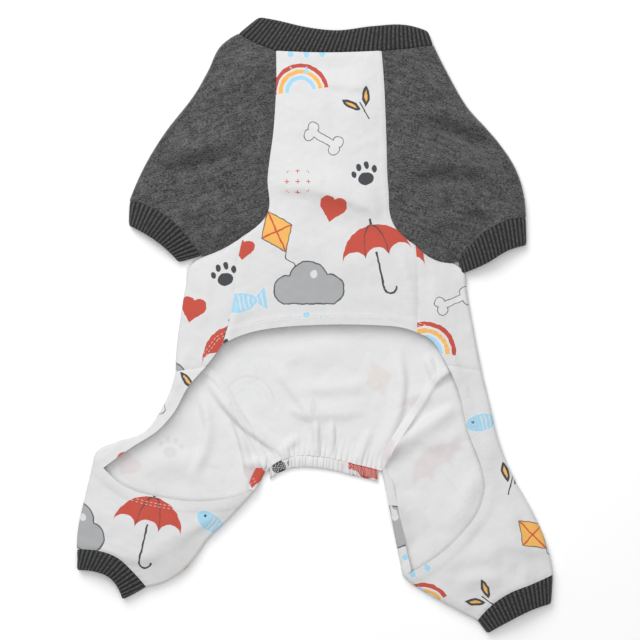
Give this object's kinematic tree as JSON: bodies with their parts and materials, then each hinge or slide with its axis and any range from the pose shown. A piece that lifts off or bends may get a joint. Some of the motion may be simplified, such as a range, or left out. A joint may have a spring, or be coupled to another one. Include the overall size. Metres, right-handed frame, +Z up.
{
  "type": "dog jumpsuit",
  "caption": "Small dog's jumpsuit laid flat: hollow knit cotton body and hind legs, fleece raglan sleeves, ribbed collar and cuffs, gathered tail casing and an open belly.",
  "frame": {"origin": "middle of the laid garment's outline, on the surface that it lies on", "axes": "+Y towards the collar, +X to the right when looking down on the belly side, +Z up out of the surface"},
  "size_m": [0.3336, 0.4304, 0.0169],
  "materials": {
    "rib_knit": "dark charcoal rib knit, matt",
    "grey_fleece": "heather grey fleece, soft and matt",
    "printed_cotton": "white knit cotton with a scattered print in red, blue, mustard and grey",
    "white_cotton": "plain white wrong side of the knit cotton"
  },
  "bodies": {
    "root": {"collar": "rib_knit", "chest_panel": "printed_cotton", "back_panel": "printed_cotton", "tail_casing": "white_cotton", "sleeve_left": "grey_fleece", "sleeve_right": "grey_fleece", "sleeve_cuff_left": "rib_knit", "sleeve_cuff_right": "rib_knit", "hind_leg_left": "printed_cotton", "hind_leg_right": "printed_cotton", "leg_cuff_left": "rib_knit", "leg_cuff_right": "rib_knit"}
  },
  "joints": []
}
